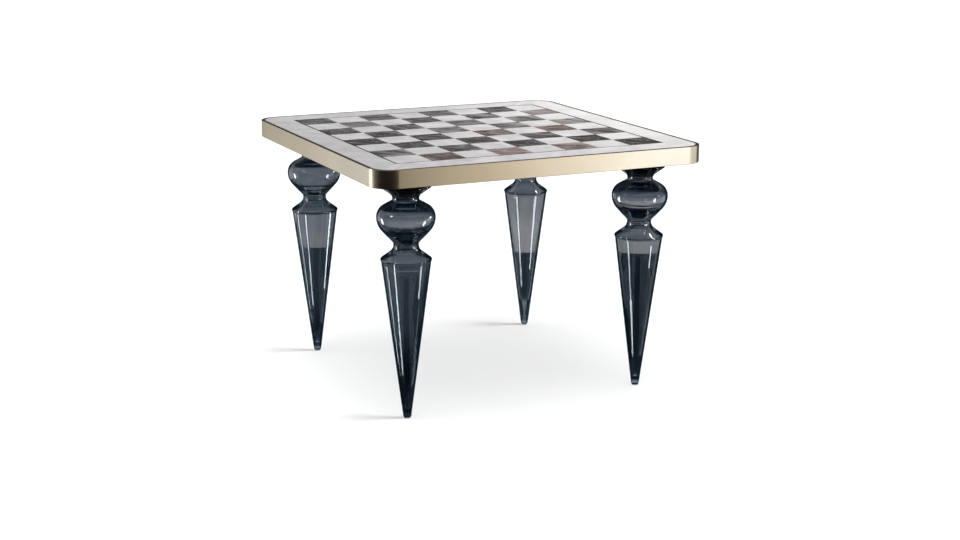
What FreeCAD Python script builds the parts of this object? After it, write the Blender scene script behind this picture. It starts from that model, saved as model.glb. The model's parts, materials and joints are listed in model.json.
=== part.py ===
import FreeCAD, Part
import math
import os

# A low chess table, in millimetres. The origin is on the floor under the middle of the top, and +Z is
# up. The players sit at the -X and +X edges, so the ranks are counted along X and the files along Y.
# A stone board and a stone border are bonded to a panel inside a brass edge band, and four hollow
# glass legs are held under the panel by metal caps, threaded studs and steel plates.

# ---- overall sizes ----
table_height = 435.0
table_side = 600.0
leg_spacing = 436.0

# ---- edge band: one flat bar bent round the top ----
band_height = 30.0
band_thickness = 6.0
band_corner_radius = 38.0
band_edge_round = 0.8

# ---- stone board ----
squares_per_side = 8
tile_side = 60.0
joint_width = 0.7
stone_thickness = 10.0
stone_arris = 0.4
inlay_width = 2.6
inlay_depth = 6.0
mitre_gap = 0.4
band_gap = 0.8

# ---- panel and adhesive under the stone ----
adhesive_thickness = 1.5
adhesive_inset = 4.0
core_thickness = 16.0

# ---- tabs that join the band to the panel ----
tab_length = 200.0
tab_reach = 30.0
tab_thickness = 2.0
tab_corner_radius = 5.0
tab_screw_count = 3
tab_screw_pitch = 75.0
tab_screw_inset = 18.0

# ---- countersunk screws, the same size for tabs and plates ----
screw_length = 14.0
screw_radius = 2.0
screw_head_radius = 4.0
screw_point_length = 3.0
screw_socket_across_flats = 2.5
screw_socket_depth = 1.4
screw_fit = 0.1

# ---- steel plate let into the panel over each leg ----
plate_side = 90.0
plate_thickness = 4.0
plate_corner_radius = 8.0
plate_screw_spacing = 68.0
plate_fit = 0.3
boss_radius = 10.0
boss_height = 8.0
boss_relief = 0.5

# ---- leg hardware ----
stud_radius = 5.0
stud_depth_in_cap = 22.0
stud_chamfer = 1.0
thread_fit = 0.05
cap_radius = 40.0
cap_thickness = 10.0
cap_edge_chamfer = 1.0
plug_length = 18.0
glue_gap = 0.3
gasket_radius = 36.0
gasket_thickness = 1.0
glide_radius = 5.5
glide_thickness = 1.5

# ---- glass leg: radii ----
lip_radius = 42.2
lower_neck_radius = 20.9
upper_neck_radius = 21.9
bulb_radius = 48.4
tip_radius = 6.8
tip_round = 2.5

# ---- glass leg: rounds of the outline ----
lip_round = 3.0
shoulder_round = 13.6
flare_round = 10.0
bulb_foot_round = 6.5
bulb_head_round = 1.0
bulb_lower_round = 32.4
bulb_upper_round = 22.4
lip_undercut_angle = 52.0

# ---- glass leg: heights between the features, from the mouth down ----
flare_rise = 21.4
upper_neck_length = 2.0
bulb_upper_rise = 28.6
bulb_lower_rise = 45.1
lower_neck_length = 1.0
shoulder_rise = 24.2

# ---- glass leg: the hollow ----
glass_wall = 4.0
solid_tip_height = 14.0
cavity_end_radius = 3.5

# ---- heights worked out from the top down ----
stone_bottom = table_height - stone_thickness
core_top = stone_bottom - adhesive_thickness
core_bottom = core_top - core_thickness
band_bottom = table_height - band_height
pitch = tile_side + joint_width
field_side = squares_per_side * pitch + joint_width
inlay_outer_side = field_side + 2.0 * inlay_width
band_inner_side = table_side - 2.0 * band_thickness
band_inner_radius = band_corner_radius - band_thickness
stone_side = band_inner_side - 2.0 * band_gap
stone_corner_radius = band_inner_radius - band_gap
joint_top = table_height - stone_arris
inlay_bottom = table_height - inlay_depth

# ---- heights worked out along the leg ----
mouth_z = core_bottom - cap_thickness - gasket_thickness
mouth_lip_z = mouth_z - lip_round
upper_neck_top = mouth_lip_z - flare_rise
upper_neck_low = upper_neck_top - upper_neck_length
bulb_z = upper_neck_low - bulb_upper_rise
lower_neck_top = bulb_z - bulb_lower_rise
lower_neck_low = lower_neck_top - lower_neck_length
shoulder_lip_z = lower_neck_low - shoulder_rise
tip_z = glide_thickness
plate_top = core_bottom + plate_thickness
boss_top = plate_top + boss_height
stud_bottom = core_bottom - stud_depth_in_cap
bore_radius = upper_neck_radius - glass_wall
plug_radius = bore_radius - glue_gap

up = FreeCAD.Vector(0.0, 0.0, 1.0)
origin = FreeCAD.Vector(0.0, 0.0, 0.0)
touch = 1e-6

side_turns = {"front": 0.0, "right": 90.0, "back": 180.0, "left": 270.0}
leg_corners = {
    "front_left": (-1.0, -1.0),
    "front_right": (1.0, -1.0),
    "back_left": (-1.0, 1.0),
    "back_right": (1.0, 1.0),
}


# ---- drawing helpers ----

def at(x, y, z):
    """A point in the table's frame."""
    return FreeCAD.Vector(x, y, z)


def moved(shape, x, y):
    """A copy of a shape, carried level to a place."""
    copy = shape.copy()
    copy.translate(at(x, y, 0.0))
    return copy


def turned(shape, degrees):
    """A copy of a shape, turned about the table's upright axis."""
    copy = shape.copy()
    copy.rotate(origin, up, degrees)
    return copy


def cylinder(radius, bottom, top):
    """An upright cylinder on the Z axis."""
    return Part.makeCylinder(radius, top - bottom, at(0.0, 0.0, bottom))


def rounded_rectangle(width, depth, radius, z):
    """A closed outline with rounded corners, centred on the Z axis."""
    half_x = width / 2.0
    half_y = depth / 2.0
    edges = []
    corners = [(1.0, -1.0), (1.0, 1.0), (-1.0, 1.0), (-1.0, -1.0)]
    for index, (sign_x, sign_y) in enumerate(corners):
        next_x, next_y = corners[(index + 1) % len(corners)]
        centre = at(sign_x * (half_x - radius), sign_y * (half_y - radius), z)
        start_degrees = -90.0 + 90.0 * index
        corner = Part.makeCircle(radius, centre, up, start_degrees, start_degrees + 90.0)
        next_centre = at(next_x * (half_x - radius), next_y * (half_y - radius), z)
        outward = at(radius * math.cos(math.radians(start_degrees + 90.0)),
                     radius * math.sin(math.radians(start_degrees + 90.0)), 0.0)
        edges.append(corner)
        edges.append(Part.makeLine(centre + outward, next_centre + outward))
    return Part.Wire(edges)


def rounded_slab(width, depth, radius, bottom, top):
    """A flat slab with rounded upright corners."""
    face = Part.Face(rounded_rectangle(width, depth, radius, bottom))
    return face.extrude(up * (top - bottom))


def edges_at_height(shape, z):
    """The edges of a shape that lie in one level plane."""
    boxes = [(edge, edge.BoundBox) for edge in shape.Edges]
    return [edge for edge, box in boxes if abs(box.ZMin - z) < touch and abs(box.ZMax - z) < touch]


def save(name, shapes):
    """Write one node: a single solid, or a group of separate ones."""
    whole = shapes[0] if len(shapes) == 1 else Part.Compound(shapes)
    whole.exportStep(os.path.join("parts", name + ".step"))


# ---- screws ----

def hexagon(across_flats, z):
    """A closed hexagon, centred on the Z axis."""
    sides = 6
    turn = 2.0 * math.pi / sides
    corner_radius = across_flats / 2.0 / math.cos(turn / 2.0)
    corners = [at(corner_radius * math.cos(turn * side), corner_radius * math.sin(turn * side), z)
               for side in range(sides)]
    return Part.makePolygon(corners + corners[:1])


def screw(head_z):
    """A countersunk screw that points up, with the face of its head at head_z."""
    head_height = screw_head_radius - screw_radius
    head = Part.makeCone(screw_head_radius, screw_radius, head_height, at(0.0, 0.0, head_z))
    point_z = head_z + screw_length - screw_point_length
    shank = cylinder(screw_radius, head_z + head_height, point_z)
    point = Part.makeCone(screw_radius, 0.0, screw_point_length, at(0.0, 0.0, point_z))
    socket = Part.Face(hexagon(screw_socket_across_flats, head_z)).extrude(up * screw_socket_depth)
    return head.fuse([shank, point]).removeSplitter().cut(socket)


def screw_hole(head_z):
    """The space that one screw needs in the pieces it passes through."""
    head_height = screw_head_radius - screw_radius
    head = Part.makeCone(screw_head_radius, screw_radius, head_height, at(0.0, 0.0, head_z))
    shank = cylinder(screw_radius + screw_fit, head_z, head_z + screw_length)
    return head.fuse(shank)


def leg_places():
    """Where the axes of the four legs stand."""
    half = leg_spacing / 2.0
    return {corner: (half * sign_x, half * sign_y) for corner, (sign_x, sign_y) in leg_corners.items()}


def plate_screw_places():
    """The four screws of a mounting plate, from the leg's axis."""
    half = plate_screw_spacing / 2.0
    return [(half * sign_x, half * sign_y) for sign_x, sign_y in leg_corners.values()]


def tab_screw_places():
    """The screws of the front tab, in the table's frame."""
    line_y = -band_inner_side / 2.0 + tab_screw_inset
    middle = (tab_screw_count - 1) / 2.0
    return [((number - middle) * tab_screw_pitch, line_y) for number in range(tab_screw_count)]


# ---- edge band and its tabs ----

def make_edge_band():
    """The flat brass bar that runs right round the top."""
    outer = rounded_slab(table_side, table_side, band_corner_radius, band_bottom, table_height)
    inner = rounded_slab(band_inner_side, band_inner_side, band_inner_radius, band_bottom, table_height)
    rounded = edges_at_height(outer, band_bottom) + edges_at_height(outer, table_height)
    return outer.makeFillet(band_edge_round, rounded).cut(inner)


def make_front_tab():
    """A flat steel tab: its outer edge is welded to the band, and the panel rests on it."""
    bottom = core_bottom - tab_thickness
    tab = rounded_slab(tab_length, 2.0 * tab_reach, tab_corner_radius, bottom, core_bottom)
    inner_half = Part.makeBox(tab_length, tab_reach, tab_thickness, at(-tab_length / 2.0, 0.0, bottom))
    tab = moved(tab.common(inner_half), 0.0, -band_inner_side / 2.0)
    holes = [moved(screw_hole(bottom), x, y) for x, y in tab_screw_places()]
    return tab.cut(holes)


# ---- panel ----

def make_core_panel():
    """The wooden panel, with pockets for the plates and pilot holes for the screws."""
    side = stone_side
    panel = rounded_slab(side, side, stone_corner_radius, core_bottom, core_top)
    pocket_side = plate_side + 2.0 * plate_fit
    pocket_radius = plate_corner_radius + plate_fit
    plate_pocket = rounded_slab(pocket_side, pocket_side, pocket_radius, core_bottom, plate_top)
    pocket = plate_pocket.fuse(cylinder(boss_radius + plate_fit, core_bottom, boss_top + boss_relief))
    plate_pilot = cylinder(screw_radius + screw_fit, core_bottom, core_bottom + screw_length)
    tab_pilot = cylinder(screw_radius + screw_fit, core_bottom, core_bottom - tab_thickness + screw_length)
    cuts = []
    for leg_x, leg_y in leg_places().values():
        cuts.append(moved(pocket, leg_x, leg_y))
        for offset_x, offset_y in plate_screw_places():
            cuts.append(moved(plate_pilot, leg_x + offset_x, leg_y + offset_y))
    for degrees in side_turns.values():
        for x, y in tab_screw_places():
            cuts.append(turned(moved(tab_pilot, x, y), degrees))
    return panel.cut(cuts)


# ---- stone board ----

def square_centre(number):
    """The distance of a rank or a file from the middle of the board."""
    return (number - (squares_per_side - 1) / 2.0) * pitch


def make_tile():
    """One square of the board, with its top arrises eased."""
    half = tile_side / 2.0
    tile = Part.makeBox(tile_side, tile_side, stone_thickness, at(-half, -half, stone_bottom))
    return tile.makeChamfer(stone_arris, edges_at_height(tile, table_height))


def is_dark(rank, file):
    """Dark and light squares alternate, and each player has a light square at the right hand."""
    return (rank + file) % 2 == 1


def make_rank(tile, rank, dark):
    """The dark or the light squares of one rank."""
    files = [file for file in range(squares_per_side) if is_dark(rank, file) == dark]
    return [moved(tile, square_centre(rank), square_centre(file)) for file in files]


def make_joint_filler():
    """The thin lattice of filler between the squares and round the board."""
    half = field_side / 2.0
    sheet = Part.makePlane(field_side, field_side, at(-half, -half, stone_bottom))
    holes = []
    for rank in range(squares_per_side):
        for file in range(squares_per_side):
            corner = at(square_centre(rank) - tile_side / 2.0, square_centre(file) - tile_side / 2.0,
                        stone_bottom)
            holes.append(Part.makePlane(tile_side, tile_side, corner))
    lattice = Part.Face([sheet.OuterWire] + [hole.OuterWire for hole in holes])
    lattice.validate()
    return lattice.extrude(up * (joint_top - stone_bottom))


def mitred_bar(inner_side, outer_side, bottom, top, gap):
    """The front bar of a square frame, with its ends cut at 45 degrees."""
    inner = inner_side / 2.0
    outer = outer_side / 2.0
    shift = gap / 2.0 * math.sqrt(2.0)
    points = [
        at(-inner + shift, -inner, bottom),
        at(inner - shift, -inner, bottom),
        at(outer - shift, -outer, bottom),
        at(-outer + shift, -outer, bottom),
    ]
    return Part.Face(Part.makePolygon(points + points[:1])).extrude(up * (top - bottom))


def make_front_inlay_line():
    """The dark metal strip between the board and the border."""
    return mitred_bar(field_side, inlay_outer_side, inlay_bottom, table_height, 0.0)


def make_front_border_stone():
    """One side of the pale border, mitred at both ends and round at the corners."""
    bar = mitred_bar(inlay_outer_side, stone_side, stone_bottom, table_height, mitre_gap)
    outline = rounded_slab(stone_side, stone_side, stone_corner_radius, stone_bottom, table_height)
    stone = bar.common(outline)
    reach = field_side / 2.0
    under_strip = Part.makeBox(2.0 * reach, inlay_width, inlay_bottom - stone_bottom,
                               at(-reach, -reach - inlay_width, stone_bottom))
    stone = stone.fuse(under_strip).removeSplitter()
    return stone.makeChamfer(stone_arris, edges_at_height(stone, table_height))


def make_adhesive_bed():
    """The layer that bonds the stone to the panel."""
    side = stone_side - 2.0 * adhesive_inset
    return rounded_slab(side, side, stone_corner_radius - adhesive_inset, core_top, stone_bottom)


# ---- glass leg ----

def polar(centre, radius, degrees):
    """A point on a circle in the upright plane through the leg's axis."""
    angle = math.radians(degrees)
    return at(centre.x + radius * math.cos(angle), 0.0, centre.z + radius * math.sin(angle))


def crossing_normal(convex, convex_round, hollow, hollow_round):
    """The angle, from the bulging round, at which a straight flank leaves it for the hollow round."""
    across = hollow - convex
    turn = math.degrees(math.acos((convex_round + hollow_round) / across.Length))
    heading = math.degrees(math.atan2(across.z, across.x))
    return heading - turn if across.z > 0.0 else heading + turn


def arc(centre, radius, start, end):
    """An arc of the leg's outline, between two angles."""
    return Part.Arc(polar(centre, radius, start), polar(centre, radius, (start + end) / 2.0),
                    polar(centre, radius, end)).toShape()


def joined(edges_and_points):
    """A chain of arcs and corner points, with straight lines between them."""
    chain = []
    last = None
    for item in edges_and_points:
        is_point = isinstance(item, FreeCAD.Vector)
        start = item if is_point else item.valueAt(item.FirstParameter)
        end = item if is_point else item.valueAt(item.LastParameter)
        if last is not None and last.distanceToPoint(start) > touch:
            chain.append(Part.makeLine(last, start))
        if not is_point:
            chain.append(item)
        last = end
    return chain


def leg_rounds():
    """Centres of the rounds that shape a leg: the bulging ones and the hollow ones."""
    return {
        "shoulder_lip": at(lip_radius - lip_round, 0.0, shoulder_lip_z),
        "shoulder": at(lower_neck_radius + shoulder_round, 0.0, lower_neck_low),
        "bulb_foot": at(lower_neck_radius + bulb_foot_round, 0.0, lower_neck_top),
        "bulb_lower": at(bulb_radius - bulb_lower_round, 0.0, bulb_z),
        "bulb_upper": at(bulb_radius - bulb_upper_round, 0.0, bulb_z),
        "bulb_head": at(upper_neck_radius + bulb_head_round, 0.0, upper_neck_low),
        "flare": at(upper_neck_radius + flare_round, 0.0, upper_neck_top),
        "mouth_lip": at(lip_radius - lip_round, 0.0, mouth_lip_z),
    }


def leg_flanks(rounds):
    """The angles at which the straight flanks leave the rounds, from the foot up."""
    return (
        crossing_normal(rounds["shoulder_lip"], lip_round, rounds["shoulder"], shoulder_round),
        crossing_normal(rounds["bulb_lower"], bulb_lower_round, rounds["bulb_foot"], bulb_foot_round),
        crossing_normal(rounds["bulb_upper"], bulb_upper_round, rounds["bulb_head"], bulb_head_round),
        crossing_normal(rounds["mouth_lip"], lip_round, rounds["flare"], flare_round),
    )


def leg_outline():
    """The outer outline of a leg, from the middle of its tip to the edge of its mouth."""
    rounds = leg_rounds()
    shoulder, foot, head, flare = leg_flanks(rounds)
    tip_centre = at(tip_radius - tip_round, 0.0, tip_z + tip_round)
    return joined([
        at(0.0, 0.0, tip_z),
        arc(tip_centre, tip_round, -90.0, 0.0),
        arc(rounds["shoulder_lip"], lip_round, -lip_undercut_angle, shoulder),
        arc(rounds["shoulder"], shoulder_round, shoulder + 180.0, 180.0),
        arc(rounds["bulb_foot"], bulb_foot_round, 180.0, foot + 180.0),
        arc(rounds["bulb_lower"], bulb_lower_round, foot, 0.0),
        arc(rounds["bulb_upper"], bulb_upper_round, 0.0, head),
        arc(rounds["bulb_head"], bulb_head_round, head + 180.0, 180.0),
        arc(rounds["flare"], flare_round, 180.0, flare + 180.0),
        arc(rounds["mouth_lip"], lip_round, flare, 90.0),
        at(bore_radius, 0.0, mouth_z),
    ])


def cavity_outline():
    """The inner outline of a leg, from its mouth down to the middle of the cavity's end."""
    rounds = leg_rounds()
    shoulder, foot, head, flare = leg_flanks(rounds)
    shoulder_inside = polar(rounds["shoulder_lip"], lip_round - glass_wall, shoulder)
    end_centre = at(0.0, 0.0, tip_z + solid_tip_height + cavity_end_radius)
    return joined([
        arc(rounds["bulb_head"], bulb_head_round + glass_wall, 180.0, head + 180.0),
        arc(rounds["bulb_upper"], bulb_upper_round - glass_wall, head, 0.0),
        arc(rounds["bulb_lower"], bulb_lower_round - glass_wall, 0.0, foot),
        arc(rounds["bulb_foot"], bulb_foot_round + glass_wall, foot + 180.0, 180.0),
        arc(rounds["shoulder"], shoulder_round + glass_wall, 180.0, shoulder + 180.0),
        shoulder_inside,
        arc(end_centre, cavity_end_radius, 0.0, -90.0),
    ])


def make_glass_leg():
    """A hollow leg: a tapered foot, a shoulder, a bulb between two necks and a flared mouth."""
    outside = leg_outline()
    inside = cavity_outline()
    mouth_edge = outside[-1].valueAt(outside[-1].LastParameter)
    neck_point = inside[0].valueAt(inside[0].FirstParameter)
    cavity_end = inside[-1].valueAt(inside[-1].LastParameter)
    tip_middle = outside[0].valueAt(outside[0].FirstParameter)
    bore = Part.makeLine(mouth_edge, neck_point)
    axis_run = Part.makeLine(cavity_end, tip_middle)
    outline = Part.Wire(outside + [bore] + inside + [axis_run])
    return Part.Face(outline).revolve(origin, up, 360.0)


# ---- leg hardware ----

def make_leg_cap():
    """The turned metal cap whose plug is bonded into the mouth of a leg."""
    bottom = core_bottom - cap_thickness
    disc = cylinder(cap_radius, bottom, core_bottom)
    disc = disc.makeChamfer(cap_edge_chamfer, edges_at_height(disc, bottom))
    plug = cylinder(plug_radius, mouth_z - plug_length, bottom)
    thread = cylinder(stud_radius + thread_fit, stud_bottom, core_bottom)
    return disc.fuse(plug).removeSplitter().cut(thread)


def make_leg_gasket():
    """The soft ring between the glass and the cap."""
    ring = cylinder(gasket_radius, mouth_z, mouth_z + gasket_thickness)
    return ring.cut(cylinder(bore_radius, mouth_z, mouth_z + gasket_thickness))


def make_leg_stud():
    """The threaded stud between the cap and the plate, with its ends chamfered."""
    stud = cylinder(stud_radius, stud_bottom, boss_top)
    ends = edges_at_height(stud, stud_bottom) + edges_at_height(stud, boss_top)
    return stud.makeChamfer(stud_chamfer, ends)


def make_mounting_plate():
    """The steel plate with a threaded boss that carries one leg."""
    plate = rounded_slab(plate_side, plate_side, plate_corner_radius, core_bottom, plate_top)
    plate = plate.fuse(cylinder(boss_radius, core_bottom, boss_top))
    thread = cylinder(stud_radius + thread_fit, core_bottom, boss_top)
    holes = [moved(screw_hole(core_bottom), x, y) for x, y in plate_screw_places()]
    return plate.removeSplitter().cut([thread] + holes)


def make_foot_glide():
    """The clear pad under the tip of a leg."""
    return cylinder(glide_radius, 0.0, glide_thickness)


# ---- the whole table ----

def write_top():
    """Write the band, the panel and the stone board."""
    save("edge_band", [make_edge_band()])
    save("core_panel", [make_core_panel()])
    save("adhesive_bed", [make_adhesive_bed()])
    save("tile_joint_filler", [make_joint_filler()])
    tab = make_front_tab()
    inlay = make_front_inlay_line()
    border = make_front_border_stone()
    tab_screws = []
    for side, degrees in side_turns.items():
        save("band_tab_" + side, [turned(tab, degrees)])
        save("inlay_line_" + side, [turned(inlay, degrees)])
        save("border_stone_" + side, [turned(border, degrees)])
        for x, y in tab_screw_places():
            tab_screws.append(turned(moved(screw(core_bottom - tab_thickness), x, y), degrees))
    save("tab_screws", tab_screws)
    tile = make_tile()
    for rank in range(squares_per_side):
        save("light_tiles_rank_" + str(rank + 1), make_rank(tile, rank, False))
        save("dark_tiles_rank_" + str(rank + 1), make_rank(tile, rank, True))


def write_legs():
    """Write the four legs and what holds each one."""
    pieces = {
        "glass_leg_": make_glass_leg(),
        "leg_cap_": make_leg_cap(),
        "leg_gasket_": make_leg_gasket(),
        "leg_stud_": make_leg_stud(),
        "mounting_plate_": make_mounting_plate(),
        "foot_glide_": make_foot_glide(),
    }
    plate_screws = []
    for corner, (leg_x, leg_y) in leg_places().items():
        for name, piece in pieces.items():
            save(name + corner, [moved(piece, leg_x, leg_y)])
        for offset_x, offset_y in plate_screw_places():
            plate_screws.append(moved(screw(core_bottom), leg_x + offset_x, leg_y + offset_y))
    save("plate_screws", plate_screws)


os.makedirs("parts", exist_ok=True)
write_top()
write_legs()
print("wrote", len(os.listdir("parts")), "nodes")
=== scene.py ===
# %% [markdown]
# # A low chess table: marble board, champagne edge band, smoked glass legs
#
# The shape of every piece was drawn in a CAD model, and that model is the frame of this scene.
# Here the pieces that the eye rests on are made again as clean meshes, and everything gets its
# finish: honed marble, satin brass, blown glass. All lengths are in metres, the floor is at Z = 0,
# and the middle of the table stands on the origin.


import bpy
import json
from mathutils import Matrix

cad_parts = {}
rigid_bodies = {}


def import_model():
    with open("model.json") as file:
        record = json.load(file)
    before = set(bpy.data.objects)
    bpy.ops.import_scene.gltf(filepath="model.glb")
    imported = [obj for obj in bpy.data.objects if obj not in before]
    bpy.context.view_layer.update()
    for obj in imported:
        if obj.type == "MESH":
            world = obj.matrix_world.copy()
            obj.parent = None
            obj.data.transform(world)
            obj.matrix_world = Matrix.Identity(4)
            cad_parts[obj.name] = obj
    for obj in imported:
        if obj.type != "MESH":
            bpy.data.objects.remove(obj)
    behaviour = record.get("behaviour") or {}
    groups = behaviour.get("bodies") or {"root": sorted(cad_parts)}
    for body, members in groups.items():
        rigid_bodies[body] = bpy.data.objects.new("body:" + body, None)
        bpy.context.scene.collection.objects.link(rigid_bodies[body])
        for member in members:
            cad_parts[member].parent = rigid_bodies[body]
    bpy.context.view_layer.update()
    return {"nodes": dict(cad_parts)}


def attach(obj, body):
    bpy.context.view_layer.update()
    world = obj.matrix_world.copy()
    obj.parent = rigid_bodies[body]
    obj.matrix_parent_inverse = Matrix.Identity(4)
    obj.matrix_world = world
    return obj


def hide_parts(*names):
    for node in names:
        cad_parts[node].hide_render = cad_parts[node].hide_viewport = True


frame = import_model()

# %% Tools for meshes and numbers
import json
import math
import random

import bmesh
import bpy
from mathutils import Vector

MM = 0.001
UP = Vector((0.0, 0.0, 1.0))


def stand(name, data):
    """Puts a mesh, a lamp or a camera into the scene as an object."""
    thing = bpy.data.objects.new(name, data)
    bpy.context.scene.collection.objects.link(thing)
    return thing


def mesh_of(name, vertices, faces):
    """A mesh from its points and faces."""
    mesh = bpy.data.meshes.new(name)
    mesh.from_pydata([tuple(vertex) for vertex in vertices], [], faces)
    return mesh


def rounded(corners, digits=4):
    """Corners or places, rounded for printing."""
    return [[round(c, digits) for c in corner] for corner in corners]


# %% [markdown]
# ## Camera
#
# A table is shown from standing height, turned so that one corner comes forward. A long lens keeps
# the legs upright in the view. The camera could be aimed by hand, but a fixed place and turn give
# the same view at each run.


# %% Place the camera
camera_place = (-1.26220827, -2.71543698, 0.91800793)
camera_turn = (76.1910596, -0.18312637, -25.18650868)
camera = stand("camera", bpy.data.cameras.new("camera"))
camera.data.lens, camera.data.sensor_width = 64.1498, 36.0
camera.data.clip_start, camera.data.clip_end = 0.05, 100.0
camera.location = camera_place
camera.rotation_euler = [math.radians(degrees) for degrees in camera_turn]
bpy.context.scene.camera = camera
bpy.context.scene.view_settings.view_transform = "Standard"
print("camera stands", round(camera.location.xy.length, 3), "m from the middle of the table")

# %% [markdown]
# ## A small kit for node materials
#
# Every finish below is painted with nodes, so that it has grain at any distance and needs no image
# file. The same few steps return each time: add a node, set it, and join its sockets. One short
# function does all three, which keeps each material down to a list of what it is made of.


# %% A helper that adds and joins nodes
def add(material, kind, values=None, **settings):
    """Adds one shader node. A value is a number or colour, or another node's output to join to."""
    tree = material.node_tree
    node = tree.nodes.new("ShaderNode" + kind)
    for name, value in settings.items():
        setattr(node, name, value)
    for key, value in (values or {}).items():
        if isinstance(value, bpy.types.NodeSocket):
            tree.links.new(value, node.inputs[key])
        else:
            node.inputs[key].default_value = value
    return node


def new_material(name, **constants):
    """A new node material and its principled shader, with the shader's plain values set."""
    material = bpy.data.materials.new(name)
    material.use_nodes = True
    shader = material.node_tree.nodes["Principled BSDF"]
    for socket, value in constants.items():
        shader.inputs[socket.replace("_", " ")].default_value = value
    return material, shader


def join(material, output, node, socket):
    """Joins an output to a named input of a node that is already there."""
    material.node_tree.links.new(output, node.inputs[socket])


# %% Steps that colours and heights are made from
def ramp(material, factor, stops):
    """A colour ramp, with its stops written as (place, colour)."""
    node = add(material, "ValToRGB", {"Fac": factor})
    elements = node.color_ramp.elements
    while len(elements) < len(stops):
        elements.new(0.5)
    for element, (position, colour) in zip(elements, stops):
        element.position = position
        element.color = (*colour, 1.0)
    return node.outputs["Color"]


def maths(material, operation, first, second=0.0):
    """One step of arithmetic on numbers."""
    return add(material, "Math", {0: first, 1: second}, operation=operation).outputs[0]


def spread_over(material, value, start, end, low, high):
    """Carries a value's range from start to end over to the range from low to high."""
    return add(material, "MapRange", {0: value, 1: start, 2: end, 3: low, 4: high}).outputs[0]


def blend_colours(material, factor, first, second):
    """Mixes two colours; each is an output or a plain colour."""
    first, second = (colour if isinstance(colour, bpy.types.NodeSocket) else (*colour, 1.0)
                     for colour in (first, second))
    return add(material, "Mix", {0: factor, 6: first, 7: second}, data_type="RGBA").outputs[2]


def noise(material, where, scale, detail, roughness=0.5, distortion=0.0):
    """Cloudy noise at a given number of lumps to the metre."""
    node = add(material, "TexNoise", {"Vector": where, "Scale": scale, "Detail": detail,
                                      "Roughness": roughness, "Distortion": distortion})
    return node.outputs["Fac"]


def place(material, scale=(1.0, 1.0, 1.0), turn=0.0, shift=0.0):
    """The point on the object, in metres, after a scale, a turn about Z and a shift along X."""
    where = add(material, "TexCoord").outputs["Object"]
    return add(material, "Mapping", {"Vector": where, "Location": (shift, 0.0, 0.0), "Scale": scale,
                                     "Rotation": (0.0, 0.0, math.radians(turn))}).outputs["Vector"]


def bump(material, height, strength, depth):
    """A normal that a height map has roughened; depth is in metres."""
    return add(material, "Bump", {"Height": height, "Strength": strength,
                                  "Distance": depth}).outputs["Normal"]


print("node kit ready")

# %% [markdown]
# ## Pale floor and soft studio light
#
# The floor is a plain white sheet. It could be lit until it burns out to white, but that light
# would burn out the marble too. Instead it gives a share of plain white to the rays that look at
# it, also by way of metal and glass, and its own shaded surface supplies the rest. So the table
# still has a shadow to stand in.


# %% The floor
floor_reach = 40.0
floor_glow = 0.215
paper_tones = (0.79, 0.79, 0.79), (0.81, 0.81, 0.81)

floor_corners = [(-floor_reach, -floor_reach, 0.0), (floor_reach, -floor_reach, 0.0),
                 (floor_reach, floor_reach, 0.0), (-floor_reach, floor_reach, 0.0)]
floor = stand("floor", mesh_of("floor", floor_corners, [(0, 1, 2, 3)]))

floor_paper, floor_shader = new_material("floor_paper", Roughness=0.9, Specular_IOR_Level=0.0)
fibre = noise(floor_paper, place(floor_paper), 6.0, detail=3.0)
paper = ramp(floor_paper, fibre, [(0.3, paper_tones[0]), (0.7, paper_tones[1])])
join(floor_paper, paper, floor_shader, "Base Color")
rays = add(floor_paper, "LightPath").outputs
seen = maths(floor_paper, "MAXIMUM", rays["Is Camera Ray"], rays["Is Glossy Ray"])
seen = maths(floor_paper, "MAXIMUM", seen, rays["Is Transmission Ray"])
white = add(floor_paper, "Emission", {"Color": (1.0, 1.0, 1.0, 1.0),
                                      "Strength": maths(floor_paper, "MULTIPLY", seen, floor_glow)})
both = add(floor_paper, "AddShader", {0: floor_shader.outputs[0], 1: white.outputs[0]})
join(floor_paper, both.outputs[0], floor_paper.node_tree.nodes["Material Output"], "Surface")
floor.data.materials.append(floor_paper)
print("floor:", 2.0 * floor_reach, "m square")

# %% [markdown]
# ## Light for the stone and the floor
#
# Stone shows its form by shading, so it needs broad, even light. A pale sky and a wide soft sun
# from above give that, with a blurred shadow under the table. A single lamp on the right brightens
# only the board. A second, low sun reaches only the floor, where small pins at three of the feet
# stand in its way and leave the short lines that tie the feet to the ground. One strong lamp for
# everything would be less work, but it would light the stone, the brass and the floor all wrongly
# at once.


# %% The sky and the lamp that lights the stone
def lamp(name, spot, target, width, height, radiance, only_reflected=False):
    """A flat lamp of even brightness that faces a point."""
    thing = stand(name, bpy.data.lights.new(name, "AREA"))
    thing.data.shape = "RECTANGLE"
    thing.data.size, thing.data.size_y = width, height
    thing.data.energy = radiance * math.pi * width * height
    thing.location = spot
    thing.rotation_euler = (Vector(target) - Vector(spot)).to_track_quat("-Z", "Y").to_euler()
    thing.visible_camera = False
    thing.visible_diffuse = not only_reflected
    return thing


world = bpy.data.worlds.new("studio")
world.use_nodes = True
sky = world.node_tree.nodes["Background"]
sky.inputs["Color"].default_value = (0.97, 0.98, 1.0, 1.0)
sky.inputs["Strength"].default_value = 0.55
bpy.context.scene.world = world

board_lamp = lamp("board_lamp", spot=(0.85, 0.05, 0.95), target=(0.25, 0.0, 0.435),
                  width=0.30, height=0.80, radiance=12.6)
board_lamp.data.color = (1.0, 0.975, 0.965)
board_lamp.visible_glossy = board_lamp.visible_transmission = False
print("lamp for the stone:", board_lamp.name)

# %% Directions on the floor
leg_reach = 218.0 * MM
leg_corners = {"front_left": (-1, -1), "front_right": (1, -1),
               "back_left": (-1, 1), "back_right": (1, 1)}
lens_side = Vector((camera.location.x, camera.location.y, 0.0)).normalized()
view_right = Vector((-lens_side.y, lens_side.x, 0.0))


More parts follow.
